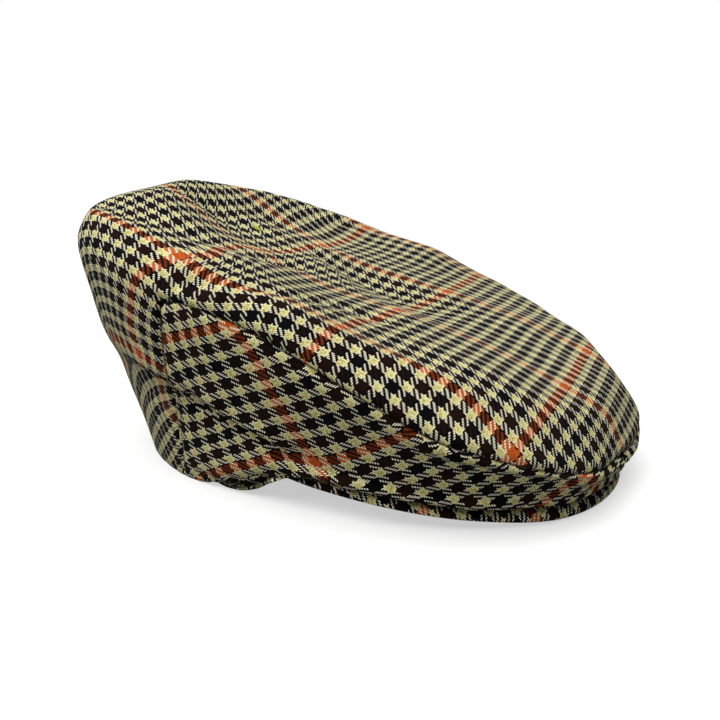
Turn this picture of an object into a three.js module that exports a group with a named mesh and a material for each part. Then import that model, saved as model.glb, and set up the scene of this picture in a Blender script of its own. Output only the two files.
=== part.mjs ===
import * as THREE from 'three';

// A soft flat cap resting on a level surface. Millimetres. +X runs forward over the peak,
// +Y towards the wearer's left, +Z up. The origin is on the surface, under the cap's middle.

const CLOTH = 2; // wall thickness: tweed with its fusible backing
const SEAM_GAP = 0.4; // between two cloth panels along a seam
const PEAK_GAP = 0.3; // between the sides' hem and the peak under it
const PEAK_THICKNESS = 4;
const PEAK_END = 92; // turn, in degrees from the front, where the peak stops

const SIDE_COLUMNS = 24;
const BACK_COLUMNS = 36;
const PEAK_COLUMNS = 44;
const WALL_ROWS = [3, 3, 3]; // rows of facets between two levels, hem to top seam
const TOP_ROWS = [3, 3, 2, 2]; // and from the top seam to the middle of the top

// Levels of the cap, hem to middle of the top. back, front: x on the centre line. half: half
// width. widest: x of that width. frontRound, backRound: corner exponents, 2 is an ellipse.
// seam: turn of the upright seam at this level. turn, height: heights by turn from the front.
const LEVELS = [
  {
    name: 'hem', back: -110.5, front: 134.2, half: 88.9, widest: 25.8,
    frontRound: 2.28, backRound: 2.08, seam: 113,
    turn: [0, 45, 80, 98, 108, 180], height: [8.7, 11.3, 16.5, 2, 0, 0],
  },
  {
    name: 'waist', back: -119.5, front: 136.7, half: 90.6, widest: -6.7,
    frontRound: 2.54, backRound: 2.2, seam: 97,
    turn: [0, 45, 80, 100, 135, 180], height: [12.2, 14.9, 25, 44.5, 42, 41],
  },
  {
    name: 'bulge', back: -131.7, front: 139.4, half: 97, widest: -9.9,
    frontRound: 2.65, backRound: 2.1, seam: 94,
    turn: [0, 45, 90, 135, 180], height: [15.6, 27.2, 45, 62.2, 66],
  },
  {
    name: 'top seam', back: -139.4, front: 138.5, half: 104.3, widest: -12.6,
    frontRound: 2.86, backRound: 2.17, seam: 90,
    turn: [0, 45, 90, 135, 180], height: [19.1, 35.4, 80.4, 101.6, 104],
  },
  {
    name: 'shoulder', back: -134.2, front: 129.5, half: 98, widest: -11.3,
    frontRound: 2.35, backRound: 2.19, seam: 90,
    turn: [0, 45, 90, 135, 180], height: [37.4, 55, 95.2, 117.4, 122.8],
  },
  {
    name: 'outer top', back: -98.9, front: 75.9, half: 65.5, widest: -20.9,
    frontRound: 2.3, backRound: 2.1, seam: 90,
    turn: [0, 45, 90, 135, 180], height: [62.4, 73.3, 102.8, 127.9, 135.2],
  },
  {
    name: 'inner top', back: -66.3, front: 21.1, half: 31.4, widest: -26.7,
    frontRound: 2.1, backRound: 2.1, seam: 90,
    turn: [0, 45, 90, 135, 180], height: [76.9, 88.8, 98.8, 110.1, 117],
  },
];
const TOP_MIDDLE = new THREE.Vector3(-31.5, 0, 102.2);
const TOP_SEAM = 3; // index of the top seam's level
const TOP_LEVEL = LEVELS.length; // level of the middle of the top

// The peak. inset: how far its edge stands inside the hem above it. edge: height of the
// underside of that edge. depth: from the edge to the head opening. rise: of that inner edge.
const PEAK = {
  turn: [0, 20, 45, 60, 80, 92],
  inset: [1.4, 1.6, 2.3, 2.6, 2.9, 3.1],
  edge: [0, 0.3, 3.4, 6, 10.1, 12.9],
  depth: [46, 44, 34, 24, 11, 6],
  rise: [8, 7.5, 6, 4, 1.5, 1],
};

// The peak's section from the underside of its edge round to the head opening and back.
// inward: millimetres from the edge. share: share of the depth. face: share of the edge's
// height. under: share of the thickness below the upper side.
const PEAK_SECTION = [
  { inward: 0.9, share: 0, face: 0, under: 0 },
  { inward: 0.1, share: 0, face: 0.3, under: 0 },
  { inward: 0, share: 0, face: 0.6, under: 0 },
  { inward: 0.5, share: 0, face: 1, under: 0 },
  { inward: 0, share: 0.35, face: 1, under: 0 },
  { inward: 0, share: 1, face: 1, under: 0 },
  { inward: 0, share: 1, face: 1, under: 1 },
  { inward: 0, share: 0.35, face: 1, under: 1 },
];

// Slope at each knot of a curve that never overshoots its values.
function knotSlopes(knots, values) {
  const last = knots.length - 1;
  const steps = [];
  for (let i = 0; i < last; i += 1) steps.push((values[i + 1] - values[i]) / (knots[i + 1] - knots[i]));
  const slopes = [steps[0]];
  for (let i = 1; i < last; i += 1) {
    const [before, after] = [steps[i - 1], steps[i]];
    slopes.push(before * after > 0 ? (2 * before * after) / (before + after) : 0);
  }
  slopes.push(steps[last - 1]);
  return slopes;
}

// Value of that curve at x. With level ends, its slope is zero at the first and last knot.
function curveAt(knots, values, x, levelEnds) {
  const last = knots.length - 1;
  const slopes = knotSlopes(knots, values);
  if (levelEnds) {
    slopes[0] = 0;
    slopes[last] = 0;
  }
  let i = 0;
  while (i < last - 1 && x >= knots[i + 1]) i += 1;
  const span = knots[i + 1] - knots[i];
  const t = (x - knots[i]) / span;
  return (
    values[i] * (1 + 2 * t) * (1 - t) ** 2 +
    values[i + 1] * t * t * (3 - 2 * t) +
    slopes[i] * span * t * (1 - t) ** 2 -
    slopes[i + 1] * span * t * t * (1 - t)
  );
}

const signedPower = (value, exponent) => Math.sign(value) * Math.abs(value) ** exponent;

// Point of one level's ring. Turn 0 is the front, positive towards the wearer's left.
function ringPoint(level, turn) {
  const angle = THREE.MathUtils.degToRad(turn);
  const [c, s] = [Math.cos(angle), Math.sin(angle)];
  const power = 2 / (c >= 0 ? level.frontRound : level.backRound);
  const reach = c >= 0 ? level.front - level.widest : level.widest - level.back;
  const fromFront = THREE.MathUtils.radToDeg(Math.acos(THREE.MathUtils.clamp(c, -1, 1)));
  return new THREE.Vector3(
    level.widest + reach * signedPower(c, power),
    level.half * signedPower(s, power),
    curveAt(level.turn, level.height, fromFront, true),
  );
}

const LEVEL_KNOTS = [...LEVELS.keys(), TOP_LEVEL];

// Point of the outer cloth surface at any level, whole or between two.
function skinPoint(level, turn) {
  const points = [...LEVELS.map((row) => ringPoint(row, turn)), TOP_MIDDLE];
  return new THREE.Vector3(
    ...['x', 'y', 'z'].map((axis) => curveAt(LEVEL_KNOTS, points.map((p) => p[axis]), level, false)),
  );
}

// Turn of the upright seam at any level below the top seam.
function seamTurn(level) {
  return curveAt(LEVEL_KNOTS.slice(0, TOP_SEAM + 1), LEVELS.map((row) => row.seam), level, false);
}

// Outer point and the point of the inner face behind it. climb moves both up off the top
// seam and swing moves both round off an upright seam, square to the seam, which opens it.
// The inner point at the hem is level with the outer one.
function clothPoint(level, turn, climb = 0, swing = 0) {
  const nudge = 0.01;
  const high = Math.min(level + nudge, TOP_LEVEL - nudge);
  const low = Math.max(high - 2 * nudge, 0);
  const around = skinPoint(high - nudge, turn + nudge).sub(skinPoint(high - nudge, turn - nudge)).normalize();
  const up = skinPoint(high, turn).sub(skinPoint(low, turn)).normalize();
  const inward = up.clone().cross(around);
  if (level === 0) inward.setZ(0);
  inward.normalize();
  const outer = skinPoint(level, turn);
  if (climb !== 0) outer.addScaledVector(around.clone().cross(inward).normalize(), climb);
  if (swing !== 0) {
    const lean = (at) => (turn === 0 ? 0 : seamTurn(at) * (turn > 180 || turn < 0 ? -1 : 1));
    const seam = skinPoint(high, lean(Math.min(high, TOP_SEAM))).sub(skinPoint(low, lean(low)));
    const across = inward.clone().cross(seam).normalize();
    if (level === 0) across.setZ(0).normalize();
    outer.addScaledVector(across, swing);
  }
  return { outer, inner: outer.clone().addScaledVector(inward, CLOTH) };
}

// The middle of the top, its inner face straight below the slope of the cloth around it.
function middlePoint() {
  const front = skinPoint(TOP_LEVEL - 1, 0);
  const back = skinPoint(TOP_LEVEL - 1, 180);
  const inward = new THREE.Vector3(0, 1, 0).cross(front.sub(back)).normalize();
  return { outer: TOP_MIDDLE.clone(), inner: TOP_MIDDLE.clone().addScaledVector(inward, CLOTH) };
}

// Level of each row of facets, from one level to another.
function rowLevels(first, counts) {
  const levels = [first];
  counts.forEach((count, step) => {
    for (let i = 1; i <= count; i += 1) levels.push(first + step + i / count);
  });
  return levels;
}

// Closed shell from outer faces: the same faces turned inside, and a rim along each free edge.
function shellGeometry(points, faces) {
  const count = points.length;
  const edges = new Set(faces.flatMap(([a, b, c]) => [`${a} ${b}`, `${b} ${c}`, `${c} ${a}`]));
  const index = [];
  for (const [a, b, c] of faces) {
    index.push(a, b, c, c + count, b + count, a + count);
    for (const [from, to] of [[a, b], [b, c], [c, a]]) {
      if (!edges.has(`${to} ${from}`)) {
        index.push(to, from, from + count, to, from + count, to + count);
      }
    }
  }
  return indexedGeometry([...points.map((p) => p.outer), ...points.map((p) => p.inner)], index);
}

function indexedGeometry(points, index) {
  const geometry = new THREE.BufferGeometry();
  geometry.setAttribute('position', new THREE.Float32BufferAttribute(points.flatMap((p) => p.toArray()), 3));
  geometry.setIndex(index);
  geometry.computeVertexNormals();
  return geometry;
}

// Two triangles between a lower and an upper row, columns i and i + 1.
function rowFaces(lower, upper) {
  const faces = [];
  for (let i = 0; i + 1 < lower.length; i += 1) {
    faces.push([lower[i], lower[i + 1], upper[i + 1]]);
    faces.push([lower[i], upper[i + 1], upper[i]]);
  }
  return faces;
}

// Top panel: the whole top, with the back wall between the two upright seams.
function topPanel() {
  const points = [];
  const faces = [];
  const add = (point) => points.push(point) - 1;
  const half = SEAM_GAP / 2;
  const turns = [];
  for (let i = 0; i < 2 * SIDE_COLUMNS; i += 1) turns.push(-90 + (90 * i) / SIDE_COLUMNS);
  for (let i = 0; i < BACK_COLUMNS; i += 1) turns.push(90 + (180 * i) / BACK_COLUMNS);

  const rings = rowLevels(TOP_SEAM, TOP_ROWS).slice(0, -1).map((level) => turns.map((turn) => {
    const climb = level === TOP_SEAM && turn <= 90 ? half : 0;
    let swing = 0;
    if (level === TOP_SEAM && turn === 90) swing = half;
    if (level === TOP_SEAM && turn === -90) swing = -half;
    return add(clothPoint(level, turn, climb, swing));
  }));
  const closed = (ring) => [...ring, ring[0]];
  for (let i = 0; i + 1 < rings.length; i += 1) faces.push(...rowFaces(closed(rings[i]), closed(rings[i + 1])));
  const middle = add(middlePoint());
  const last = closed(rings[rings.length - 1]);
  for (let i = 0; i + 1 < last.length; i += 1) faces.push([last[i], last[i + 1], middle]);

  const walls = rowLevels(0, WALL_ROWS).slice(0, -1).map((level) => {
    const seam = seamTurn(level);
    const row = [];
    for (let i = 0; i <= BACK_COLUMNS; i += 1) {
      const turn = THREE.MathUtils.lerp(seam, 360 - seam, i / BACK_COLUMNS);
      const swing = { 0: half, [BACK_COLUMNS]: -half }[i] ?? 0;
      row.push(add(clothPoint(level, turn, 0, swing)));
    }
    return row;
  });
  walls.push(closed(rings[0]).slice(2 * SIDE_COLUMNS));
  for (let i = 0; i + 1 < walls.length; i += 1) faces.push(...rowFaces(walls[i], walls[i + 1]));
  return shellGeometry(points, faces);
}

// Side panel: from the centre front back to the upright seam, hem to top seam. side is 1 for
// the wearer's left and -1 for the right.
function sidePanel(side) {
  const points = [];
  const half = SEAM_GAP / 2;
  const rows = rowLevels(0, WALL_ROWS).map((level) => {
    const seam = seamTurn(level);
    const row = [];
    for (let i = 0; i <= SIDE_COLUMNS; i += 1) {
      const climb = level === TOP_SEAM ? -half : 0;
      const swing = { 0: half, [SIDE_COLUMNS]: -half }[i] ?? 0;
      const point = clothPoint(level, (seam * i) / SIDE_COLUMNS, climb, swing);
      for (const face of Object.values(point)) face.y *= side;
      row.push(points.push(point) - 1);
    }
    return side > 0 ? row : row.reverse();
  });
  const faces = [];
  for (let i = 0; i + 1 < rows.length; i += 1) faces.push(...rowFaces(rows[i], rows[i + 1]));
  return shellGeometry(points, faces);
}

// Peak: a crescent under the sides' hem, swept round the front from temple to temple.
function peak() {
  const points = [];
  const index = [];
  const loops = [];
  for (let i = 0; i <= PEAK_COLUMNS; i += 1) {
    const turn = THREE.MathUtils.lerp(-PEAK_END, PEAK_END, i / PEAK_COLUMNS);
    const at = (column) => curveAt(PEAK.turn, PEAK[column], Math.abs(turn), column === 'edge');
    const hem = ringPoint(LEVELS[0], turn);
    const along = ringPoint(LEVELS[0], turn + 0.01).sub(ringPoint(LEVELS[0], turn - 0.01));
    const inward = new THREE.Vector3(-along.y, along.x, 0).normalize();
    const face = Math.max(hem.z - PEAK_GAP - at('edge'), 3);
    const loop = PEAK_SECTION.map((corner) => {
      const reach = at('inset') + corner.inward + corner.share * at('depth');
      const below = corner.under * Math.min(PEAK_THICKNESS, face);
      const point = hem.clone().addScaledVector(inward, reach);
      point.z = at('edge') + corner.face * face + corner.share * at('rise') - below;
      return points.push(point) - 1;
    });
    loops.push(loop);
  }
  for (let i = 0; i + 1 < loops.length; i += 1) {
    const [near, far] = [[...loops[i], loops[i][0]], [...loops[i + 1], loops[i + 1][0]]];
    for (let j = 0; j + 1 < near.length; j += 1) {
      index.push(near[j], far[j], far[j + 1], near[j], far[j + 1], near[j + 1]);
    }
  }
  for (const [loop, first] of [[loops[0], true], [loops[loops.length - 1], false]]) {
    const centre = loop.reduce((sum, i) => sum.add(points[i]), new THREE.Vector3());
    const middle = points.push(centre.divideScalar(loop.length)) - 1;
    loop.forEach((corner, i) => {
      const next = loop[(i + 1) % loop.length];
      index.push(...(first ? [corner, next, middle] : [next, corner, middle]));
    });
  }
  return indexedGeometry(points, index);
}

const TWEED = { roughness: 0.95, metalness: 0 };
const PIECES = [
  { name: 'top_panel', geometry: topPanel(), colour: 0x8f7f5c },
  { name: 'side_panel_right', geometry: sidePanel(-1), colour: 0x7d6e50 },
  { name: 'side_panel_left', geometry: sidePanel(1), colour: 0x7d6e51 },
  { name: 'peak', geometry: peak(), colour: 0x6d5f46 },
];

const cap = new THREE.Group();
for (const { name, geometry, colour } of PIECES) {
  const mesh = new THREE.Mesh(geometry, new THREE.MeshStandardMaterial({ ...TWEED, color: colour }));
  mesh.name = name;
  cap.add(mesh);
}

export default cap;
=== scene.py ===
"""A soft flat cap in checked tweed, resting on its hem and the front of its peak."""

import bpy
import numpy as np
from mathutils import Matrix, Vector


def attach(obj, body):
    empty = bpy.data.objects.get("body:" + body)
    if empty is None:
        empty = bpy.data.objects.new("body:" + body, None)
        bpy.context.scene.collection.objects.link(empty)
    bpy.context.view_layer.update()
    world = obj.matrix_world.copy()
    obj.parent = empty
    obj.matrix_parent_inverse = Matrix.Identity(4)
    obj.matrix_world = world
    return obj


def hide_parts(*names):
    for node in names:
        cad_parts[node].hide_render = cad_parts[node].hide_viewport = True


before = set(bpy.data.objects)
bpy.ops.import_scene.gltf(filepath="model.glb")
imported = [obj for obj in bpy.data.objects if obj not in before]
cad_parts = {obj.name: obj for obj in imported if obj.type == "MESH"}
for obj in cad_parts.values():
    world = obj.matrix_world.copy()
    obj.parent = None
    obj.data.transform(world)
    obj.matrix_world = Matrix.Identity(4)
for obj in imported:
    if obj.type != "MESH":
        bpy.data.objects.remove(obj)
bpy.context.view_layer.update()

MM = 0.001
BAND = 3.665  # width of one colour band of the check, mm

# Turns from the front at which the heights of a level are given.
HEM_TURNS = (0, 45, 80, 98, 108, 180)
WAIST_TURNS = (0, 45, 80, 100, 135, 180)
TURNS = (0, 45, 90, 135, 180)
# Levels of the cap from the hem to the middle of the top, mm. back, front: x on the centre
# line. half: half width. widest: x of that width. front_round, back_round: corner exponents.
# seam: turn of the upright seam there. turns, heights: height by turn from the front.
LEVEL_COLUMNS = "back front half widest front_round back_round seam turns heights".split()
LEVELS = [
    dict(zip(LEVEL_COLUMNS, row))
    for row in (
        (-110.5, 134.2, 88.9, 25.8, 2.28, 2.08, 113, HEM_TURNS, (8.7, 11.3, 16.5, 2, 0, 0)),
        (-119.5, 136.7, 90.6, -6.7, 2.54, 2.2, 97, WAIST_TURNS, (12.2, 14.9, 25, 44.5, 42, 41)),
        (-131.7, 139.4, 97, -9.9, 2.65, 2.1, 94, TURNS, (15.6, 27.2, 45, 62.2, 66)),
        (-139.4, 138.5, 104.3, -12.6, 2.86, 2.17, 90, TURNS, (19.1, 35.4, 80.4, 101.6, 104)),
        (-134.2, 129.5, 98, -11.3, 2.35, 2.19, 90, TURNS, (37.4, 55, 95.2, 117.4, 122.8)),
        (-98.9, 75.9, 65.5, -20.9, 2.3, 2.1, 90, TURNS, (62.4, 73.3, 102.8, 127.9, 135.2)),
        (-66.3, 21.1, 31.4, -26.7, 2.1, 2.1, 90, TURNS, (76.9, 88.8, 98.8, 110.1, 117)),
    )
]
TOP_MIDDLE = (-31.5, 0, 102.2)
TOP_SEAM = 3
TOP_LEVEL = len(LEVELS)


# --- the cap's surface -----------------------------------------------------------------


def curve_at(knots, values, x, level_ends):
    """Smooth curve through values that never overshoots them. values has a row per knot and,
    where it has columns, one for each x."""
    knots = np.asarray(knots, float)
    values = np.asarray(values, float)
    if values.ndim == 1:
        values = np.repeat(values[:, None], np.size(x), axis=1)
    wide = values.reshape(len(knots), len(x), -1)
    steps = np.diff(wide, axis=0) / np.diff(knots)[:, None, None]
    slopes = np.zeros_like(wide)
    before, after = steps[:-1], steps[1:]
    same = before * after > 0
    slopes[1:-1] = np.where(same, 2 * before * after / np.where(same, before + after, 1), 0)
    if not level_ends:
        slopes[0], slopes[-1] = steps[0], steps[-1]
    i = np.clip(np.searchsorted(knots, x, side="right") - 1, 0, len(knots) - 2)
    span = (knots[i + 1] - knots[i])[:, None]
    t = (np.asarray(x) - knots[i])[:, None] / span
    at = np.arange(len(x))
    out = (
        wide[i, at] * (1 + 2 * t) * (1 - t) ** 2
        + wide[i + 1, at] * t * t * (3 - 2 * t)
        + slopes[i, at] * span * t * (1 - t) ** 2
        - slopes[i + 1, at] * span * t * t * (1 - t)
    )
    return out.reshape((len(x),) + values.shape[2:])


def signed_power(value, exponent):
    return np.sign(value) * np.abs(value) ** exponent


def ring_points(level, turn):
    """Points of one level's ring. Turn 0 is the front, positive towards the wearer's left."""
    c, s = np.cos(np.radians(turn)), np.sin(np.radians(turn))
    power = 2 / np.where(c >= 0, level["front_round"], level["back_round"])
    reach = np.where(c >= 0, level["front"] - level["widest"], level["widest"] - level["back"])
    x = level["widest"] + reach * signed_power(c, power)
    y = level["half"] * signed_power(s, power)
    z = curve_at(level["turns"], level["heights"], np.degrees(np.arccos(np.clip(c, -1, 1))), True)
    return np.stack([x, y, z], axis=-1)


def skin(level, turn):
    """Points of the outer cloth, mm, at levels whole or between."""
    level, turn = (np.ravel(a).astype(float) for a in np.broadcast_arrays(level, turn))
    rings = [ring_points(row, turn) for row in LEVELS]
    rings.append(np.broadcast_to(np.array(TOP_MIDDLE, float), (len(turn), 3)))
    return curve_at(range(TOP_LEVEL + 1), np.stack(rings), level, False)


def seam_turn(level):
    """Turn of the upright seam at levels from the hem to the top seam."""
    level = np.ravel(level)
    return curve_at(range(TOP_SEAM + 1), [row["seam"] for row in LEVELS[: TOP_SEAM + 1]], level, False)


def unit(vectors):
    return vectors / np.maximum(np.linalg.norm(vectors, axis=-1, keepdims=True), 1e-9)


def outward(level, turn):
    """Outward direction of the cloth."""
    nudge = 0.01
    high = np.minimum(level + nudge, TOP_LEVEL - nudge)
    low = np.maximum(high - 2 * nudge, 0)
    around = skin(high - nudge, turn + nudge) - skin(high - nudge, turn - nudge)
    return unit(np.cross(around, skin(high, turn) - skin(low, turn)))


# --- grids of points that the panels are moved onto --------------------------------------

HEM_FOLD = 1.5  # radius of the turned hem, mm
HEM_RETURN = 16  # height of the turned-in cloth inside it
FOLD_STEPS = 4
TOP_CELLS = 72  # cells along each side of the top's square grid
BACK_ROWS = 27
SIDE_COLUMNS = 88
SIDE_ROWS = 22


def wall_rows(turns_at, rows):
    """Wall of a panel from the turned-in cloth round the hem and up to the top seam.
    turns_at gives the turns of a row from its level. Returns points, rows by columns."""
    base = turns_at(0)
    hem = skin(0, base)
    rise = np.linalg.norm(skin(1, base) - hem, axis=1)
    out = outward(np.zeros(len(base)), base)
    out[:, 2] = 0
    out = unit(out)
    up = unit(skin(0.3, base) - hem)
    start = np.clip(HEM_FOLD / rise, 0, 0.5)
    lines = []
    for share in (1, 0.75, 0.5, 0.25):
        level = np.minimum(share * HEM_RETURN / rise, 0.6 * share + 0.2)
        level = np.maximum(level, start * 1.2)
        lines.append(skin(level, base) - out * 2 * HEM_FOLD)
    centre = hem + up * HEM_FOLD - out * HEM_FOLD
    for step in range(FOLD_STEPS + 1):
        angle = np.pi * (1 + step / FOLD_STEPS)
        lines.append(centre + HEM_FOLD * (np.cos(angle) * out + np.sin(angle) * np.array([0, 0, 1])))
    for share in np.linspace(0, 1, rows + 1)[1:]:
        level = start + (TOP_SEAM - start) * share
        lines.append(skin(level, turns_at(TOP_SEAM * share)))
    return np.stack(lines)


def spread(level, turn):
    """Where a place of the top lies when its cloth is spread out round the middle, mm."""
    level, turn = (np.ravel(a).astype(float) for a in np.broadcast_arrays(level, turn))
    path = [skin(TOP_LEVEL + (level - TOP_LEVEL) * share, turn) for share in np.linspace(0, 1, 25)]
    reach = sum(np.linalg.norm(b - a, axis=1) for a, b in zip(path, path[1:]))
    heading = unit(path[-1][:, :2] - path[0][:, :2])
    return np.array(TOP_MIDDLE[:2]) + heading * reach[:, None]


def top_patch(count):
    """The top inside the top seam: a square grid of points drawn out to the seam's ring."""
    side = np.linspace(-1, 1, count + 1)
    a, b = np.meshgrid(side, side, indexing="ij")
    far = np.maximum(np.abs(a), np.abs(b))
    ahead = np.abs(a) >= np.abs(b)
    turn = np.where(
        ahead,
        45 * b / np.where(ahead & (far > 0), a, 1) + np.where(a < 0, 180, 0),
        90 - 45 * a / np.where(ahead, 1, b) + np.where(b < 0, 180, 0),
    )
    share = 0.35 * far + 0.65 * (1 - (1 - far) ** 1.25)  # cells a little closer at the rim
    level = TOP_LEVEL - (TOP_LEVEL - TOP_SEAM) * share
    flat = spread(level, turn).reshape(count + 1, count + 1, 2)
    return skin(level, turn).reshape(count + 1, count + 1, 3), flat


def ring_distance(points, line):
    """Distance of each point from a line of close points, mm."""
    nearest = np.full(len(points), 1e9)
    for start in range(0, len(line) - 1):
        a, b = line[start], line[start + 1]
        share = np.clip((points - a) @ (b - a) / max((b - a) @ (b - a), 1e-9), 0, 1)
        nearest = np.minimum(nearest, np.linalg.norm(points - a - share[:, None] * (b - a), axis=1))
    return nearest


# Where the cap is looked at from, and towards, mm.
TARGET = np.array([9.21, 0, 43.77])
AZIMUTH = np.radians(34.36)
ELEVATION = np.radians(10.29)
DISTANCE = 342.34
EYE = TARGET + DISTANCE * np.array(
    [np.sin(AZIMUTH) * np.cos(ELEVATION), -np.cos(AZIMUTH) * np.cos(ELEVATION), np.sin(ELEVATION)]
)


# --- mesh helpers --------------------------------------------------------------------


def deselect():
    bpy.ops.object.select_all(action="DESELECT")


def choose(piece):
    """Makes a piece the only selected one, and the active one."""
    deselect()
    piece.select_set(True)
    bpy.context.view_layer.objects.active = piece


def grid_piece(name, points, flat):
    """A grid primitive whose points are moved onto points, mm, rows by columns. flat is where
    each point would lie if the cloth were spread out, a first guess."""
    rows, columns = points.shape[:2]
    deselect()
    bpy.ops.mesh.primitive_grid_add(x_subdivisions=columns - 1, y_subdivisions=rows - 1, size=1)
    piece = bpy.context.object
    piece.name = name
    piece.data.name = name
    assert len(piece.data.vertices) == rows * columns
    piece.data.vertices.foreach_set("co", (points.reshape(-1, 3) * MM).ravel())
    start = piece.data.attributes.new("flat", "FLOAT_VECTOR", "POINT")
    start.data.foreach_set("vector", np.pad(flat.reshape(-1, 2), ((0, 0), (0, 1))).ravel())
    piece.data.update()
    return piece


def edit(piece, *steps):
    """Runs edit-mode steps on the whole of a piece."""
    choose(piece)
    bpy.ops.object.mode_set(mode="EDIT")
    bpy.ops.mesh.select_all(action="SELECT")
    for step in steps:
        step()
    bpy.ops.object.mode_set(mode="OBJECT")


def merge_close():
    bpy.ops.mesh.remove_doubles(threshold=0.01 * MM)


def face_out():
    bpy.ops.mesh.normals_make_consistent(inside=False)


def positions(piece):
    """Vertex positions, mm."""
    out = np.empty(len(piece.data.vertices) * 3)
    piece.data.vertices.foreach_get("co", out)
    return out.reshape(-1, 3) / MM


def normals(piece):
    out = np.empty(len(piece.data.vertices) * 3)
    piece.data.vertices.foreach_get("normal", out)
    return out.reshape(-1, 3)


def place(piece, points):
    piece.data.vertices.foreach_set("co", (points * MM).ravel())
    piece.data.update()


# --- cloth coordinates ------------------------------------------------------------------


def triangles(piece):
    """Corner vertices of the faces' triangles, and the loop of each corner."""
    piece.data.calc_loop_triangles()
    count = len(piece.data.loop_triangles)
    corners = np.empty(count * 3, np.int64)
    loops = np.empty(count * 3, np.int64)
    piece.data.loop_triangles.foreach_get("vertices", corners)
    piece.data.loop_triangles.foreach_get("loops", loops)
    return corners.reshape(-1, 3), loops.reshape(-1, 3)


def conjugate(apply, right, start, diagonal, steps):
    """Solves apply(x) = right from start, by conjugate gradients."""
    x = start.copy()
    rest = right - apply(x)
    scaled = rest / diagonal
    step = scaled.copy()
    size = rest @ scaled
    for _ in range(steps):
        moved = apply(step)
        share = size / (step @ moved)
        x += share * step
        rest -= share * moved
        scaled = rest / diagonal
        size, previous = rest @ scaled, size
        if size < 1e-10:
            break
        step = scaled + size / previous * step
    return x


NEAREST = 6  # vertices that one pin holds
SIGHT_REACH = 15  # how far along the line of sight a pin may meet the cloth, mm


def pin_weights(points, out, target, eye):
    """Nearest vertices to a place, and weights that give it exactly. Cloth that faces eye is
    met along the line of sight, so that a fold doesn't shift the place."""
    local = points - target
    gap = np.linalg.norm(local, axis=1)
    way = unit(target - eye)
    if out[gap.argmin()] @ way < -0.1:
        local = local - (local @ way)[:, None] * way
        seen = (gap < SIGHT_REACH) & (out @ way < 0)
        gap = np.where(seen, np.linalg.norm(local, axis=1), 1e9)
    near = np.argsort(gap)[:NEAREST]
    flat = np.vstack([local[near].T, np.ones(len(near))])
    weights = np.linalg.pinv(flat, rcond=1e-3) @ np.array([0, 0, 0, 1.0])
    return near, weights / weights.sum()


class Pins:
    """Pins of one axis of the cloth. Each holds a weighted place of a few vertices at a value."""

    def __init__(self, pins, points, out, eye, count):
        rows = [pin_weights(points, out, spot, eye) for spot, _, _ in pins]
        self.near = np.concatenate([near for near, _ in rows])
        self.share = np.concatenate([share for _, share in rows])
        self.pin = np.repeat(np.arange(len(pins)), NEAREST)
        self.aim = np.array([bands * BAND for _, _, bands in pins])
        self.count = count

    def at(self, values):
        """Value of each pin's place."""
        return np.bincount(self.pin, self.share * values[self.near], len(self.aim))

    def share_out(self, values):
        """Values of the pins, summed over the vertices that they hold."""
        return np.bincount(self.near, self.share * values[self.pin], self.count)

    def diagonal(self):
        return np.bincount(self.near, self.share**2, self.count)


def slit(points, guess, corners, cut):
    """Doubles the vertices of the mask cut, so that the cloth on their right comes loose."""
    twins = np.full(len(points), -1)
    twins[cut] = len(points) + np.arange(cut.sum())
    right = (points[corners][:, :, 1].mean(axis=1) < 0)[:, None] & cut[corners]
    split = np.where(right, twins[corners], corners)
    return np.vstack([points, points[cut]]), np.vstack([guess, guess[cut]]), split


def flat_edges(points, corners):
    """Edges of the triangles, as they lie in each triangle's own plane. Returns their heads,
    tails, vectors and weights, all first edges before all second and third ones."""
    a, b, c = (points[corners[:, k]] for k in range(3))
    length = np.linalg.norm(b - a, axis=1)
    along = (b - a) / length[:, None]
    x = ((c - a) * along).sum(axis=1)
    y = np.linalg.norm((c - a) - x[:, None] * along, axis=1)
    zero = np.zeros_like(x)
    local = np.stack([np.stack([zero, zero], 1), np.stack([length, zero], 1), np.stack([x, y], 1)], 1)
    heads, tails, edges, weights = [], [], [], []
    for i, j, opposite in ((0, 1, 2), (1, 2, 0), (2, 0, 1)):
        p = local[:, i] - local[:, opposite]
        q = local[:, j] - local[:, opposite]
        cross = np.abs(p[:, 0] * q[:, 1] - p[:, 1] * q[:, 0])
        weights.append(np.clip((p * q).sum(axis=1) / np.maximum(cross, 1e-6), 0.05, 4))
        heads.append(corners[:, i])
        tails.append(corners[:, j])
        edges.append(local[:, i] - local[:, j])
    return [np.concatenate(parts) for parts in (heads, tails, edges, weights)]


def turned(edge, weight, delta):
    """Each triangle's edges, turned to fit delta, the way that they lie now, as well as they can."""
    dot = (weight * (delta * edge).sum(axis=1)).reshape(3, -1).sum(axis=0)
    crossed = weight * (edge[:, 0] * delta[:, 1] - edge[:, 1] * delta[:, 0])
    crossed = crossed.reshape(3, -1).sum(axis=0)
    size = np.maximum(np.hypot(dot, crossed), 1e-9)
    c, s = np.tile(dot / size, 3), np.tile(crossed / size, 3)
    return np.stack([c * edge[:, 0] - s * edge[:, 1], s * edge[:, 0] + c * edge[:, 1]], 1)


LAY_ROUNDS = 30
FIRST_STEPS = 400  # steps of the solver in the first round, and in each later one
LATER_STEPS = 60


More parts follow.
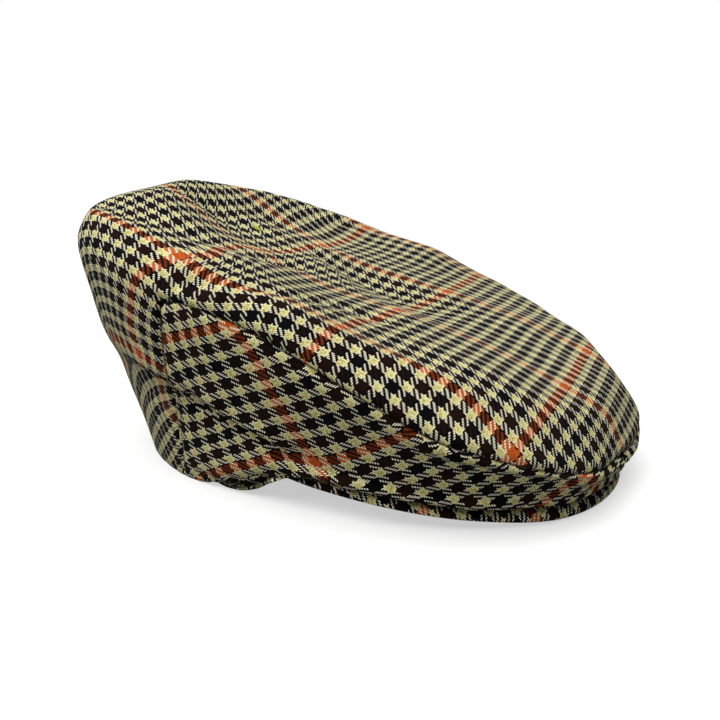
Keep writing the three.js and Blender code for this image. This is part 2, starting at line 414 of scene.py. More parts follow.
def lay_flat(piece, pins, eye, pull, cut=None):
    """Spreads a cloth piece with as little stretch as it can, and writes its cloth
    coordinates, in colour bands, as its UV map. pins are (place, axis, bands): the thread at
    that place lies that many bands along, axis 0, or across, axis 1. pull is how hard they
    hold. cut is a mask of vertices along which the cloth is slit."""
    points = positions(piece)
    guess = np.empty(len(points) * 3)
    piece.data.attributes["flat"].data.foreach_get("vector", guess)
    flat = guess.reshape(-1, 3)[:, :2].copy()
    corners, loops = triangles(piece)
    whole = points
    if cut is not None:
        points, flat, corners = slit(points, flat, corners, cut)
    head, tail, edge, weight = flat_edges(points, corners)
    count = len(points)
    held = []
    for axis in (0, 1):
        mine = [pin for pin in pins if pin[1] == axis]
        held.append(Pins(mine, whole, normals(piece), eye, count))
    total = np.bincount(head, weight, count) + np.bincount(tail, weight, count)

    def gather(values):
        return np.bincount(head, values, count) - np.bincount(tail, values, count)

    for done in range(LAY_ROUNDS):
        wanted = turned(edge, weight, flat[head] - flat[tail])
        steps = LATER_STEPS if done else FIRST_STEPS
        for axis, mine in enumerate(held):

            def apply(v):
                return gather(weight * (v[head] - v[tail])) + pull * mine.share_out(mine.at(v))

            right = gather(weight * wanted[:, axis]) + pull * mine.share_out(mine.aim)
            diagonal = total + pull * mine.diagonal()
            flat[:, axis] = conjugate(apply, right, flat[:, axis], diagonal, steps)
    layer = piece.data.uv_layers.new(name="cloth")
    out = np.zeros((len(piece.data.loops), 2))
    out[loops.ravel()] = flat[corners.ravel()] / BAND
    layer.data.foreach_set("uv", out.ravel())


# --- the three panels --------------------------------------------------------------------

# Places where a coloured thread runs, as (level, turn). Lengthwise threads are so many bands
# across the cloth, crosswise threads so many bands along it.
LENGTHWISE = {
    -16: ((2.18, -118.6), (2.26, -101.6), (2.22, -92.0)),
    0: (
        (4.05, -132.7), (4.23, -115.7), (4.28, -105.4), (4.27, -95.7), (4.16, -89.4), (3.98, -86.1),
        (3.84, -82.1), (4.21, -74.5), (4.33, -71.0), (4.3, -66.7), (4.33, -60.3), (4.25, -50.7),
        (4.07, -46.3), (3.94, -41.1), (3.69, -38.6), (3.27, -35.7),
    ),
    16: (
        (5.11, -132.0), (5.41, -127.8), (5.62, -109.7), (5.87, -99.4), (5.66, -82.3), (5.34, -63.0),
        (5.34, -54.0), (5.34, -41.6), (5.35, -27.7), (5.12, -13.3), (4.77, -8.9), (4.43, -7.5),
        (4.12, -4.0), (3.81, -0.3),
    ),
    32: (
        (5.17, 165.5), (5.39, 157.1), (5.77, 139.1), (5.98, 120.8), (6.35, 87.3), (6.35, 37.8),
        (5.87, 35.2), (5.56, 37.7), (5.13, 36.5), (4.71, 35.1), (4.39, 26.3),
    ),
    48: ((5.09, 115.6), (5.11, 105.4)),
    56: ((4.28, 105.4),),
    72: ((2.2, 118), (2.2, 101.6)),
}
CROSSWISE = {
    0: (
        (0.37, -115.3), (0.82, -105.4), (2.47, -102.0), (3.07, -96.6), (3.25, -95.7), (3.57, -93.2),
        (3.84, -91.0), (4.18, -89.1), (4.61, -83.3), (6.26, -78.4), (6.35, 87.3), (5.41, 96.0),
        (3.57, 93.2), (3.07, 96.6), (2.47, 102), (0.82, 105.4), (0.37, 115.3),
    ),
    20: (
        (3.02, -72.2), (4.11, -63.8), (4.58, -56.7), (4.94, -46.5), (5.4, -25.9), (5.67, 5.3),
        (5.57, 22.7), (5.42, 34.5), (4.5, 69.5),
    ),
    40: (
        (2.98, -36.7), (3.51, -31.6), (3.91, -24.4), (4.16, -18.2), (4.34, -5.5), (4.4, 7.5),
        (4.31, 24.5),
    ),
}
SIDE_LENGTHWISE = {
    0: (
        (0.1, -102.7), (0.19, -95.8), (0.24, -91.1), (0.33, -87.1), (0.68, -80.5), (1.03, -72.6),
        (1.37, -69.1), (1.6, -66.3), (1.9, -62.9), (2.19, -59.9), (2.53, -57.1), (2.9, -54.5),
    ),
    16: ((2.61, -89.6), (2.68, -88.0), (2.76, -86.3), (2.78, -85.1)),
    -16: ((0.12, -29.0), (1.23, -24.7), (1.98, -22.9)),
}
SIDE_CROSSWISE = {
    0: (
        (2.77, -79.7), (2.63, -78.6), (2.45, -77.9), (2.25, -76.8), (1.98, -75.7), (1.64, -74.6),
        (1.45, -73.4), (1.06, -72.5),
    ),
}
# Light squares of the side's check, as (bands along, bands across, level, turn).
SIDE_SQUARES = (
    (1, -1, 0.82, -70.5), (5, -1, 1.68, -62.4), (9, -1, 2.62, -54.3), (3, -1, 1.36, -66),
    (7, -1, 1.98, -58.6), (5, -3, 1.4, -60.6), (9, -3, 2, -53.1), (11, -3, 2.91, -48.7),
    (7, -3, 1.66, -56.9), (7, -5, 1.36, -55.1), (11, -5, 2.03, -47.6), (7, -7, 0.92, -53.5),
    (9, -7, 1.31, -49.8), (13, -7, 2.19, -42), (11, -9, 1.28, -44.1), (15, -9, 2.86, -35.6),
    (11, -11, 0.44, -42.4), (15, -11, 1.8, -34.1), (13, -13, 0.66, -35), (15, -13, 1.47, -31),
    (17, -13, 2.66, -24.8), (-3, 5, 1.59, -80.9), (1, 5, 2.09, -73.9), (5, 5, 2.63, -66.6),
    (-3, 7, 1.96, -81.7), (-5, 7, 1.71, -84.5), (3, 7, 2.54, -71.5), (-3, 9, 2.21, -82.6),
    (-5, 9, 2.07, -85.5), (-7, 9, 1.92, -87.6), (-9, 9, 1.58, -89.5), (3, 9, 2.72, -72.8),
    (-3, 11, 2.4, -83.5), (-7, 11, 2.18, -88.5), (1, 11, 2.7, -77.3), (-1, 13, 2.7, -81.4),
    (-5, 13, 2.46, -87), (-9, 13, 2.31, -90), (-5, 15, 2.61, -87.4), (-7, 15, 2.53, -89.3),
    (-5, 17, 2.8, -87.5), (-5, 1, 0.49, -85.9), (-9, 1, 0.25, -95.7), (-13, 1, 0.1, -106.5),
    (-7, 3, 0.56, -88.8), (-11, 3, 0.3, -99.8), (-13, 3, 0.23, -105.5), (-7, 5, 0.89, -87.4),
    (-11, 5, 0.43, -98.2), (-13, 5, 0.36, -103.8), (-11, 7, 0.56, -97),
)


PIN_SPACING = 5  # mm between pins along a thread
PIN_BREAK = 45  # mm between places past which the thread between them is left free


def thread_pins(lengthwise, crosswise, squares=(), hand=1):
    """Pins along the threads. hand is -1 for the panel of the other side."""
    pins = []
    for axis, threads in ((1, lengthwise), (0, crosswise)):
        for bands, places in threads.items():
            levels, turns = np.array(places).T
            points = skin(levels, turns * hand)
            value = bands * (1 if axis else hand)
            for a, b in zip(points, points[1:]):
                length = np.linalg.norm(b - a)
                count = max(int(length // PIN_SPACING), 1) if length < PIN_BREAK else 1
                pins += [(a + (b - a) * share, axis, value) for share in np.arange(count) / count]
            pins.append((points[-1], axis, value))
    for along, across, level, turn in squares:
        point = skin(level, turn * hand)[0]
        pins += [(point, 0, along * hand), (point, 1, across)]
    return pins


def make_top():
    """Top and back in one cloth: the square patch, and the wall that goes on from its rear."""
    patch_points, patch_flat = top_patch(TOP_CELLS)
    patch = grid_piece("top_tweed_cloth", patch_points, patch_flat)

    def turns_at(level):
        edge = seam_turn(level)[0]
        return np.linspace(edge, 360 - edge, 2 * TOP_CELLS + 1)

    points = wall_rows(turns_at, BACK_ROWS)
    rows, columns = points.shape[:2]
    rim = spread(TOP_SEAM, turns_at(TOP_SEAM))
    heading = unit(rim - np.array(TOP_MIDDLE[:2]))
    drop = np.zeros((rows, columns))
    drop[:-1] = np.linalg.norm(np.diff(points, axis=0), axis=2)
    drop = drop[::-1].cumsum(axis=0)[::-1]
    wall = grid_piece("back_wall", points, rim[None] + heading[None] * drop[:, :, None])
    choose(patch)
    wall.select_set(True)
    bpy.ops.object.join()
    edit(patch, merge_close, face_out)
    return patch


def make_side(name, side):
    """Side panel from the upright seam to the centre front; side is -1 right, 1 left."""

    def turns_at(level):
        return np.linspace(side * seam_turn(level)[0], 0, SIDE_COLUMNS + 1)

    points = wall_rows(turns_at, SIDE_ROWS)
    flat = np.stack([-side * points[:, :, 0], points[:, :, 2]], axis=2)
    panel = grid_piece(name, points, flat)
    edit(panel, merge_close, face_out)
    return panel


def finer(piece):
    """Halves the cells of a piece and rounds it."""
    choose(piece)
    smooth = piece.modifiers.new("finer", "SUBSURF")
    smooth.levels = 1
    smooth.render_levels = 1
    bpy.ops.object.modifier_apply(modifier=smooth.name)


def thicken(piece, thickness):
    choose(piece)
    solid = piece.modifiers.new("cloth", "SOLIDIFY")
    solid.thickness = thickness * MM
    solid.offset = -1
    bpy.ops.object.modifier_apply(modifier=solid.name)


# --- relief: seams, creases and folds -------------------------------------------------------

# A crease or fold runs through places given as (level, turn). depth: how far it goes in, mm,
# out where negative. wide: half its width, mm.
FOLDS = (
    (((4.09, -127), (4.23, -109.8), (4.27, -98.3), (4.18, -89.1), (3.87, -82)), -1.5, 5),
    (((4.31, -129.6), (4.63, -109.8), (4.81, -96.6), (5.14, -85.4), (5.79, -70.4)), 2.4, 9),
    (((3.37, -89.6), (3.65, -85.4), (4.08, -78.4), (4.54, -68.1), (4.87, -57.2), (4.93, -46.9)), 1.4, 4),
    (((3.63, -82.4), (3.85, -76.3), (4.01, -69.2), (4.14, -62), (4.16, -55.9), (4.09, -46.7),
      (3.94, -40.3)), -1.3, 6),
    (((4.7, -124.9), (4.74, -116.5)), 1.6, 5),
    (((0.7, -119.4), (0.8, -106.7), (1.5, -97)), 1.2, 5),
    (((5.12, 145.8), (5.23, 141.4)), -0.7, 7),
    (((5.06, 106), (4.73, 99.2), (4.67, 92.3), (4.6, 83.5)), -2.8, 16),
    (((4.12, 59.8), (4.03, 54.3), (4.14, 47.3), (4.09, 41.3)), -1.5, 14),
    (((2.91, -88.2), (2.96, -89.3), (3.01, -90)), 1.0, 3),
    (((1.6, -90.5), (1.05, -90.3), (1.19, -86.8), (1.22, -83.7), (1.19, -80.4), (0.81, -79.2)), 2.2, 2.2),
    (((1.9, -88), (1.5, -86), (1.52, -82.5), (1.5, -79.5), (1.2, -77.8)), -1.8, 4),
    (((1.13, -78.9), (1.19, -76.8), (1.11, -75.1)), 1.8, 2.2),
    (((0.06, -107.4), (0.11, -101.2), (0.14, -96.5), (0.15, -92.1), (0.16, -89.2), (0.17, -86.4)), 1.0, 1.5),
    (((0.0, -104.9), (0.0, -98.1), (0.0, -92.7), (0.0, -87)), 2.6, 3.2),
)
# Near the right temple the lower edge is tucked in below this line, (level, turn).
TUCK = ((0.02, -107), (0.06, -104), (0.1, -100), (0.12, -96), (0.13, -92), (0.12, -88))
TUCK_DEPTH = 3.2
TUCK_FADE = 6  # mm over which it starts and ends
TUCK_TURN = 1.3  # mm of height over which the cloth turns in
# painted shade on the tucked cloth: mm by which its distance from a seam is lowered
TUCK_SHADE = 0.42
# Where the lower edge hangs lower: from turn, to turn, by how much.
SAGS = ((-101, -94, 2.4), (10, 48, 1.7))
SAG_WIDTH = 9
LIP = 1.7  # how far the side panel's lower edge stands out over the peak, mm
LIP_WIDTH = 2.6
LIP_END = 74  # turn where it stops
SEAM_DEPTH, SEAM_WIDTH = 0.9, 1.4
SEAM_REACH = 8  # mm from a seam out to which the cloth's way out turns to the seam's own
SEAM_TURN = 3
SEAM_SHADE = 0.75  # mm from a seam out to which its groove gets painted shade
SHOULDER, SHOULDER_AT, SHOULDER_WIDTH = 0.3, 4.2, 2.2  # swelling of the cloth beside a seam
WAVES, WAVE_HEIGHT, WAVE_LENGTHS = 40, 0.07, (22, 70)  # slight waves all over the cloth
CLEARANCE = 0.2  # lowest place of the cloth over the floor


def bell(near, wide):
    return np.exp(-((near / wide) ** 2))


def seam_lines():
    """Each seam's line, and the way out of the cloth along it."""
    around = np.linspace(-90, 90, 241)
    levels = np.linspace(0.05, TOP_SEAM, 121)
    lines = [(TOP_SEAM, around), (levels, -seam_turn(levels)), (levels, seam_turn(levels)), (levels, 0)]
    return [(skin(level, turn), outward(level, turn)) for level, turn in lines]


def lip(panel):
    """Rolls the lower edge of a side panel out over the peak."""
    points = positions(panel)
    edge = skin(0, np.linspace(-LIP_END, LIP_END, 181))
    out = LIP * bell(ring_distance(points, edge), LIP_WIDTH)
    place(panel, points + normals(panel) * out[:, None])


def sink_seams(points, ways, lines):
    """Groove and shoulders along the seams. Turns ways to the seam's own way out beside it, so
    that both its panels move alike. Returns the lift and the distance from the seams."""
    lift = np.zeros(len(points))
    apart = np.full(len(points), 99.0)
    for line, out in lines:
        near = ring_distance(points, line)
        apart = np.minimum(apart, near)
        lift -= SEAM_DEPTH * bell(near, SEAM_WIDTH)
        lift += SHOULDER * bell(near - SHOULDER_AT, SHOULDER_WIDTH)
        close = np.flatnonzero(near < SEAM_REACH)
        nearest = np.linalg.norm(points[close, None] - line[None], axis=2).argmin(axis=1)
        share = bell(near[close], SEAM_TURN)[:, None]
        ways[close] = unit(ways[close] * (1 - share) + out[nearest] * share)
    return lift, apart


def fold_depth(points):
    """How far in the creases and folds go at each point."""
    depths = np.zeros(len(points))
    for places, depth, wide in FOLDS:
        levels, turns = np.array(places, float).T
        share = np.linspace(0, 1, len(levels))
        fine = np.linspace(0, 1, 12 * len(levels))
        line = skin(np.interp(fine, share, levels), np.interp(fine, share, turns))
        depths += depth * bell(ring_distance(points, line), wide)
    return depths


def tuck(points, apart):
    """Turns the lower edge in by the right temple, and lowers its distance from the seams there,
    so that the material paints shade on it as in a seam's groove. Returns the new distance
    from the seams."""
    levels, turns = np.array(TUCK).T
    fold = skin(levels, turns)
    below = np.interp(points[:, 0], fold[:, 0], fold[:, 2]) - points[:, 2]
    start, end = fold[0, 0], fold[-1, 0]
    ends = np.clip((points[:, 0] - start) / TUCK_FADE, 0, 1) * np.clip((end - points[:, 0]) / TUCK_FADE, 0, 1)
    near_side = points[:, 1] < -60
    share = np.clip(below / TUCK_TURN + 0.3, 0, 1) * ends * near_side
    points[:, 1] += TUCK_DEPTH * share * (3 - 2 * share) * share
    # the lowered distance gives painted shade on the tucked cloth
    return np.where(share > 0, np.minimum(apart, SEAM_SHADE - TUCK_SHADE * share), apart)


def sag(points):
    """Lowers the edge where it hangs."""
    sags = [(ring_distance(points, skin(0, np.linspace(first, last, 41))), by) for first, last, by in SAGS]
    points[:, 2] -= sum(by * bell(near, SAG_WIDTH) for near, by in sags)


def unevenness(points):
    rng = np.random.default_rng(11)
    lift = np.zeros(len(points))
    for _ in range(WAVES):
        wave = rng.normal(size=3)
        wave *= 2 * np.pi / rng.uniform(*WAVE_LENGTHS) / np.linalg.norm(wave)
        lift += WAVE_HEIGHT * np.sin(points @ wave + rng.uniform(0, 6.28))
    return lift


def relief(piece, lines):
    """Sinks the seams, presses in the creases and leaves the cloth a little uneven. Writes the
    distance from the seams, mm, lowered on the tucked cloth, as the attribute seam; the
    material paints shade from it in the seams' grooves and on the tucked cloth."""
    points = positions(piece)
    ways = normals(piece)
    lift, apart = sink_seams(points, ways, lines)
    lift -= fold_depth(points)
    apart = tuck(points, apart)
    sag(points)
    lift += unevenness(points)
    # the material paints shade from this: dark near a seam and on the tucked cloth
    seam = piece.data.attributes.get("seam") or piece.data.attributes.new("seam", "FLOAT", "POINT")
    seam.data.foreach_set("value", apart)
    points += ways * lift[:, None]
    points[:, 2] = np.maximum(points[:, 2], CLEARANCE)
    place(piece, points)


# --- the peak ---------------------------------------------------------------------------

PEAK_END = 92  # turn where the peak stops
PEAK_COLUMNS = 96
PEAK = {
    "turn": (0, 20, 45, 60, 80, 92),
    "inset": (-0.5, 0.2, 2.0, 2.1, 2.4, 3.0),
    "edge": (0, 0.3, 3.4, 6, 10.1, 12.9),
    "depth": (46, 44, 34, 24, 11, 6),
    "rise": (8, 7.5, 6, 4, 1.5, 1),
}
PEAK_BOARD = 4  # thickness of the board with its cloth, mm
PEAK_GAP = 2.1  # between the hem and the top of the peak's face
FACE_LEAST = 2.4  # least height of the face
TAPER_TURNS = 3.5  # turns over which each end closes
FACE_TOP = 5  # row of the section along the upper edge of the face
# Section of the peak from its lower front edge round the top and back underneath. inward: mm
# in from the hem. share: share of the depth. face: share of the front's height. under: 1 below.
PEAK_SECTION = (
    (2.2, 0, 0, 0),
    (0.7, 0, 0.1, 0),
    (0.1, 0, 0.32, 0),
    (0.7, 0, 0.62, 0),
    (2.4, 0, 0.86, 0),
    (5.2, 0, 1, 0),
    (0, 0.16, 1, 0),
    (0, 0.35, 1, 0),
    (0, 0.65, 1, 0),
    (0, 0.97, 1, 0),
    (0, 1, 1, 0.3),
    (0, 1, 1, 0.8),
    (0, 0.97, 1, 1),
    (0, 0.65, 1, 1),
    (0, 0.35, 1, 1),
    (0.6, 0.16, 1, 1),
    (2.2, 0, 0, 0),
)


def make_peak():
    """The peak as one closed band of cloth round its board."""
    turns = np.linspace(-PEAK_END, PEAK_END, PEAK_COLUMNS + 1)
    keys = ("inset", "edge", "depth", "rise")
    at = {key: curve_at(PEAK["turn"], PEAK[key], np.abs(turns), key == "edge") for key in keys}
    hem = ring_points(LEVELS[0], turns)
    along = ring_points(LEVELS[0], turns + 0.01) - ring_points(LEVELS[0], turns - 0.01)
    inward = unit(np.stack([-along[:, 1], along[:, 0], np.zeros(len(turns))], axis=1))
    height = np.maximum(hem[:, 2] - PEAK_GAP - at["edge"], FACE_LEAST)
    ending = np.clip((np.abs(turns) - PEAK_END + TAPER_TURNS) / TAPER_TURNS, 0, 1)
    taper = np.sqrt(np.clip(1 - ending**2, 0, 1))
    rows = []
    for inset, share, face, under in PEAK_SECTION + PEAK_SECTION[:1]:
        point = hem + inward * (at["inset"] + inset + share * at["depth"])[:, None]
        point[:, 2] = at["edge"] + face * height + share * at["rise"] - under * np.minimum(PEAK_BOARD, height)
        rows.append(point)
    points = np.stack(rows)
    middle = points[:-1, :, 2].mean(axis=0)
    points[:, :, 2] = middle + (points[:, :, 2] - middle) * taper
    # the face's cloth turns over the upper edge; the underside is cut flat
    fall = np.linalg.norm(points[: FACE_TOP + 1] - points[FACE_TOP], axis=2)
    flat = points[:, :, :2].copy()
    flat[: FACE_TOP + 1] = points[FACE_TOP, :, :2] - inward[None, :, :2] * fall[:, :, None]
    peak = grid_piece("peak_tweed_cloth", points, flat)
    layer = peak.data.uv_layers.new(name="cloth")
    corners = np.empty(len(peak.data.loops), np.int64)
    peak.data.loops.foreach_get("vertex_index", corners)
    layer.data.foreach_set("uv", (flat.reshape(-1, 2)[corners] / BAND).ravel())
    edit(peak, merge_close, face_out)
    return peak


# --- the tweed ----------------------------------------------------------------------------


def linear(red, green, blue):
    """sRGB 0 to 255 as linear colour."""
    values = np.array([red, green, blue]) / 255
    out = np.where(values <= 0.04045, values / 12.92, ((values + 0.055) / 1.055) ** 2.4)
    return (*out, 1)


class Weave:
    """Builds the nodes of one cloth."""

    def __init__(self, name):
        self.material = bpy.data.materials.new(name)
        self.material.use_nodes = True
        self.tree = self.material.node_tree
        self.shader = self.tree.nodes["Principled BSDF"]

    def node(self, kind, **settings):
        node = self.tree.nodes.new(kind)
        for key, value in settings.items():
            setattr(node, key, value)
        return node

    def join(self, value, socket):
        if hasattr(value, "links"):
            self.tree.links.new(value, socket)
        else:
            socket.default_value = value

    def math(self, operation, *values):
        node = self.node("ShaderNodeMath", operation=operation)
        for value, socket in zip(values, node.inputs):
            self.join(value, socket)
        return node.outputs[0]

    def blend(self, share, a, b, kind="MIX"):
        node = self.node("ShaderNodeMix", data_type="RGBA", blend_type=kind)
        self.join(share, node.inputs[0])
        self.join(a, node.inputs[6])
        self.join(b, node.inputs[7])
        return node.outputs[2]

    def noise(self, vector, scale, detail=2.0):
        node = self.node("ShaderNodeTexNoise")
        node.inputs["Scale"].default_value = scale
        node.inputs["Detail"].default_value = detail
        self.join(vector, node.inputs["Vector"])
        return node.outputs[0]

    def range(self, value, low, high, to_low=0.0, to_high=1.0):
        node = self.node("ShaderNodeMapRange")
        for socket, number in zip(node.inputs[1:5], (low, high, to_low, to_high)):
            socket.default_value = number
        self.join(value, node.inputs[0])
        return node.outputs[0]


THREADS = 6  # threads in a colour band
LIGHT_THREADS = 5  # light ones in every two bands
WARP_BANDS = 16  # bands from one orange band to the next
WEFT_BANDS = 20
NAVY = linear(7, 7, 10)
BROWN = linear(32, 16, 9)
CREAM = linear(252, 247, 224)  # light thread beside dark ones
PALE = linear(236, 231, 176)  # light thread among light ones
OCHRE = linear(182, 162, 54)
ORANGE = linear(202, 105, 43)
RUST = linear(120, 50, 18)
RED = linear(194, 66, 26)
SLUB = linear(168, 176, 66)
SLUB_SIZE = (0.9, 0.45)  # half its size, bands
BUMP = 0.25  # height of a thread, mm


def is_light(weave, thread):
    """1 for the last few threads of every two bands, which are light."""
    place_in_two = weave.math("FLOORED_MODULO", thread, 2.0 * THREADS)
    return weave.math("GREATER_THAN", place_in_two, 2.0 * THREADS - LIGHT_THREADS)


def band_masks(weave, thread, count):
    """Light, orange and brown masks of a thread, its bands counted from the orange one."""
    light = is_light(weave, thread)
    band = weave.math("FLOOR", weave.math("DIVIDE", thread, float(THREADS)))
    orange = weave.math("COMPARE", weave.math("FLOORED_MODULO", band, float(count)), 0.0, 0.1)
    brown = weave.math("COMPARE", weave.math("FLOORED_MODULO", band, 4.0), 2.0, 0.1)
    return light, orange, brown


def light_under(weave, thread, back):
    """1 where a float is over a light thread at either of the two that it crosses. thread is
    the one crossed here, and back tells how many the float has crossed before."""
    start = weave.math("SUBTRACT", thread, back)
    return weave.math("MAXIMUM", is_light(weave, start), is_light(weave, weave.math("ADD", start, 1.0)))


def thread_colour(weave, mine, other, golden, mottle):
    """Colour of the thread on top, from its own band and the one that it crosses."""
    light, orange, brown = mine
    light_colour = weave.blend(other[0], CREAM, golden)
    dark = weave.blend(brown, NAVY, BROWN)
    colour = weave.blend(light, dark, light_colour)
    crossing = weave.blend(mottle, RED, ORANGE)
    coloured = weave.blend(other[1], weave.blend(other[0], RUST, ORANGE), crossing)
    return weave.blend(orange, colour, coloured)


def golden_colour(weave, u, v, mottle):
    """Colour of the light squares, golden in the middle, unevenly."""
    middle = weave.math("MINIMUM", weave.math("PINGPONG", u, 0.5), weave.math("PINGPONG", v, 0.5))
    return weave.blend(weave.math("MULTIPLY", weave.range(middle, 0.04, 0.26), mottle), PALE, OCHRE)


def with_gap(weave, full, mine, other, top, under):
    """A light thread over dark ones is thin, and shows the thread under it at its sides."""
    lone = weave.math("GREATER_THAN", mine[0], other[0])
    gap = weave.math("MULTIPLY", weave.math("SUBTRACT", 1.0, full), lone)
    return weave.blend(gap, top, under)


def with_slub(weave, colour, u, v, slub):
    """One greenish thick place."""
    off = []
    for value, middle, size in zip((u, v), slub, SLUB_SIZE):
        across = weave.math("DIVIDE", weave.math("SUBTRACT", value, middle), size)
        off.append(weave.math("MULTIPLY", across, across))
    return weave.blend(weave.range(weave.math("ADD", *off), 0.4, 1.0, 1.0, 0.0), colour, SLUB)


def wool(weave, cloth, colour, height, seamed):
    """Multiplies the colour by painted shade where the threads dip, with a little painted light on
    their crowns, by painted shade in the seams' grooves and the tuck, and by the fibres' uneven
    tone. Sets the finish.
    """
    fibre = weave.noise(cloth, 9.0, 3.0)
    cast = weave.noise(cloth, 0.12, 2.0)
    # painted shade where a thread dips under its neighbours, and a little painted light on its crown
    threads = weave.range(height, 0.0, 1.0, 0.62, 1.08)
    tone_and_shade = weave.math("MULTIPLY", threads, weave.range(fibre, 0.3, 0.7, 0.82, 1.16))
    tone_and_shade = weave.math("MULTIPLY", tone_and_shade, weave.range(cast, 0.3, 0.7, 0.93, 1.05))
    # painted shade in the seams' grooves and on the tucked cloth, from the attribute seam
    if seamed:
        seam = weave.node("ShaderNodeAttribute", attribute_name="seam").outputs["Fac"]
        tone_and_shade = weave.math("MULTIPLY", tone_and_shade, weave.range(seam, 0.1, SEAM_SHADE, 0.12, 1.0))
    shader = weave.shader.inputs
    weave.join(weave.blend(1.0, colour, tone_and_shade, "MULTIPLY"), shader["Base Color"])
    bump = weave.node("ShaderNodeBump")
    bump.inputs["Strength"].default_value = 0.6
    bump.inputs["Distance"].default_value = BUMP * MM
    weave.join(height, bump.inputs["Height"])
    weave.join(bump.outputs[0], shader["Normal"])
    weave.join(weave.range(fibre, 0.2, 0.8, 0.85, 1.0), shader["Roughness"])
    shader["Sheen Weight"].default_value = 0.012
    shader["Sheen Roughness"].default_value = 0.5
    shader["Specular IOR Level"].default_value = 0.04


def tweed(name, seamed, shift=(0.0, 0.0), slub=None):
    """Checked tweed: a two-and-two twill of light and dark bands, with an orange band at each
    repeat. With the seam shade on, the material paints shade in the groove of each seam and on
    the tucked cloth. slub is where one greenish thick place lies, in bands."""
    weave = Weave(name)
    cloth = weave.node("ShaderNodeUVMap", uv_map="cloth").outputs[0]
    parts = weave.node("ShaderNodeSeparateXYZ")
    weave.join(cloth, parts.inputs[0])
    u = weave.math("ADD", parts.outputs[0], shift[0] + 0.5)
    v = weave.math("ADD", parts.outputs[1], shift[1] + 0.5)
    weft = weave.math("MULTIPLY", u, float(THREADS))
    warp = weave.math("MULTIPLY", v, float(THREADS))
    weft_thread = weave.math("FLOOR", weft)
    warp_thread = weave.math("FLOOR", warp)
    step = weave.math("FLOORED_MODULO", weave.math("ADD", weft_thread, warp_thread), 4.0)
    warp_up = weave.math("LESS_THAN", step, 1.5)
    # to the middle of the thread, so that rounding can't move it into the next band
    weft_thread = weave.math("ADD", weft_thread, 0.5)
    warp_thread = weave.math("ADD", warp_thread, 0.5)
    weft_masks = band_masks(weave, weft_thread, WEFT_BANDS)
    warp_masks = band_masks(weave, warp_thread, WARP_BANDS)
    mottle = weave.range(weave.noise(cloth, 4.5, 3.0), 0.4, 0.62)
    golden = golden_colour(weave, u, v, mottle)
    # a float keeps one colour from end to end, which gives the light squares their spikes
    under_warp = (light_under(weave, weft_thread, step), *weft_masks[1:])
    under_weft = (light_under(weave, warp_thread, weave.math("SUBTRACT", step, 2.0)), *warp_masks[1:])
    warp_colour = thread_colour(weave, warp_masks, under_warp, golden, mottle)
    weft_colour = thread_colour(weave, weft_masks, under_weft, golden, mottle)
    # a float is full in its middle and dips under its neighbours at its sides and ends
    warp_full = weave.range(weave.math("PINGPONG", warp, 0.5), 0.17, 0.34)
    along = weave.math("ADD", weave.math("FRACT", warp), weave.math("SUBTRACT", step, 2.0))
    weft_end = weave.range(weave.math("PINGPONG", along, 1.0), 0.1, 0.5)
    weft_full = weave.math("MULTIPLY", weave.range(weave.math("PINGPONG", weft, 0.5), 0.12, 0.3), weft_end)
    warp_shown = with_gap(weave, warp_full, warp_masks, under_warp, warp_colour, weft_colour)
    weft_shown = with_gap(weave, weft_full, weft_masks, under_weft, weft_colour, warp_colour)
    colour = weave.blend(warp_up, weft_shown, warp_shown)
    if slub:
        colour = with_slub(weave, colour, u, v, slub)
    height = weave.node("ShaderNodeMix", data_type="FLOAT")
    weave.join(warp_up, height.inputs[0])
    weave.join(weft_full, height.inputs[2])
    weave.join(warp_full, height.inputs[3])
    wool(weave, cloth, colour, height.outputs[0], seamed)
    return weave.material


# --- the studio ------------------------------------------------------------------------------


def camera_or_light(tree, for_light, for_camera):
    """A value that the camera sees as one number and the light as another."""
    path = tree.nodes.new("ShaderNodeLightPath")
    value = tree.nodes.new("ShaderNodeMapRange")
    value.inputs["To Min"].default_value = for_light
    value.inputs["To Max"].default_value = for_camera
    tree.links.new(path.outputs["Is Camera Ray"], value.inputs["Value"])
    return value.outputs[0]


def make_floor():
    """Plain pale floor, far wider than the view. It glows a little for the camera alone."""
    deselect()
    bpy.ops.mesh.primitive_plane_add(size=80)
    floor = bpy.context.object
    floor.name = "floor"
    pale = bpy.data.materials.new("pale_floor")
    pale.use_nodes = True
    tree = pale.node_tree
    shader = tree.nodes["Principled BSDF"]
    tree.links.new(camera_or_light(tree, 0.28, 0.45), shader.inputs["Base Color"])
    tree.links.new(camera_or_light(tree, 0.0, 0.55), shader.inputs["Emission Strength"])
    shader.inputs["Emission Color"].default_value = (1, 1, 1, 1)
    shader.inputs["Roughness"].default_value = 0.9
    shader.inputs["Specular IOR Level"].default_value = 0.1
    floor.data.materials.append(pale)


def make_sky():
    """A broad soft light from above, and a white surround that adds little light itself."""
    deselect()
    bpy.ops.object.light_add(type="SUN", location=(-0.3, -0.8, 1.5))
    light = bpy.context.object
    light.name = "soft_light"
    light.data.energy = 4.6
    light.data.angle = np.radians(75)
    light.rotation_euler = Vector((0.12, 0.34, -1)).to_track_quat("-Z", "Y").to_euler()
    world = bpy.data.worlds.new("studio")
    world.use_nodes = True
    tree = world.node_tree
    background = tree.nodes["Background"].inputs
    background["Color"].default_value = (1, 1, 1, 1)
    tree.links.new(camera_or_light(tree, 0.12, 1.0), background["Strength"])
    bpy.context.scene.world = world


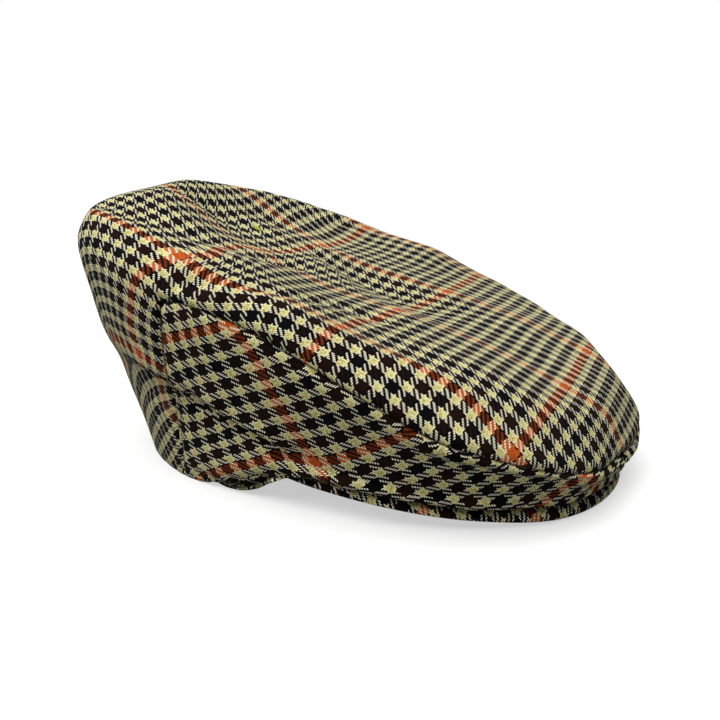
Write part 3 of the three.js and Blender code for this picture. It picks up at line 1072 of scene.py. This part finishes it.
def make_camera():
    deselect()
    bpy.ops.object.camera_add(location=Vector(EYE * MM))
    camera = bpy.context.object
    camera.rotation_euler = Vector(EYE - TARGET).to_track_quat("Z", "Y").to_euler()
    camera.data.lens = 34.2
    camera.data.sensor_width = 36
    camera.data.clip_start = 0.01
    bpy.context.scene.camera = camera


# --- everything ------------------------------------------------------------------------------

CLOTH = 1.4  # thickness of the tweed, mm
TOP_PULL = 8
SIDE_PULL = 4
PEAK_SHIFT = (-4.0, -2.5)  # where the check starts on the peak, bands
TOP_SLUB = (-5.6, 25.0)


def rear_slit(top):
    """Mask of the vertices down the middle of the back wall, where the check may break."""
    points = positions(top)
    low = (points[:, 0] < -60) & (points[:, 2] < 75)
    return (np.abs(points[:, 1]) < 0.2) & low


def lay_checks(piece, lines, pins, eye, pull, cut=None):
    smooth = positions(piece)
    relief(piece, lines)
    lay_flat(piece, pins, eye, pull, cut)
    place(piece, smooth)


def dress(piece, node, slot, **settings):
    """Gives a piece its cloth, hangs it under the root body and hides the CAD part of its node."""
    choose(piece)
    bpy.ops.object.shade_smooth()
    piece.data.materials.append(tweed(f"{slot}_{node}", **settings))
    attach(piece, "root")
    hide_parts(node)


seams = seam_lines()
top = make_top()
right_side = make_side("side_tweed_right", -1)
left_side = make_side("side_tweed_left", 1)
peak = make_peak()

lay_checks(top, seams, thread_pins(LENGTHWISE, CROSSWISE), EYE, TOP_PULL, rear_slit(top))
for piece, hand in ((right_side, 1), (left_side, -1)):
    lip(piece)
    pins = thread_pins(SIDE_LENGTHWISE, SIDE_CROSSWISE, SIDE_SQUARES, hand)
    lay_checks(piece, seams, pins, EYE * (1, hand, 1), SIDE_PULL)

for piece in (top, right_side, left_side):
    finer(piece)
    relief(piece, seams)
    thicken(piece, CLOTH)
finer(peak)
finer(peak)

dress(top, "top_panel", "top_tweed", seamed=True, slub=TOP_SLUB)
dress(right_side, "side_panel_right", "side_tweed", seamed=True)
dress(left_side, "side_panel_left", "side_tweed", seamed=True)
dress(peak, "peak", "peak_tweed", seamed=False, shift=PEAK_SHIFT)

make_floor()
make_sky()
make_camera()
bpy.context.scene.view_settings.view_transform = "Standard"
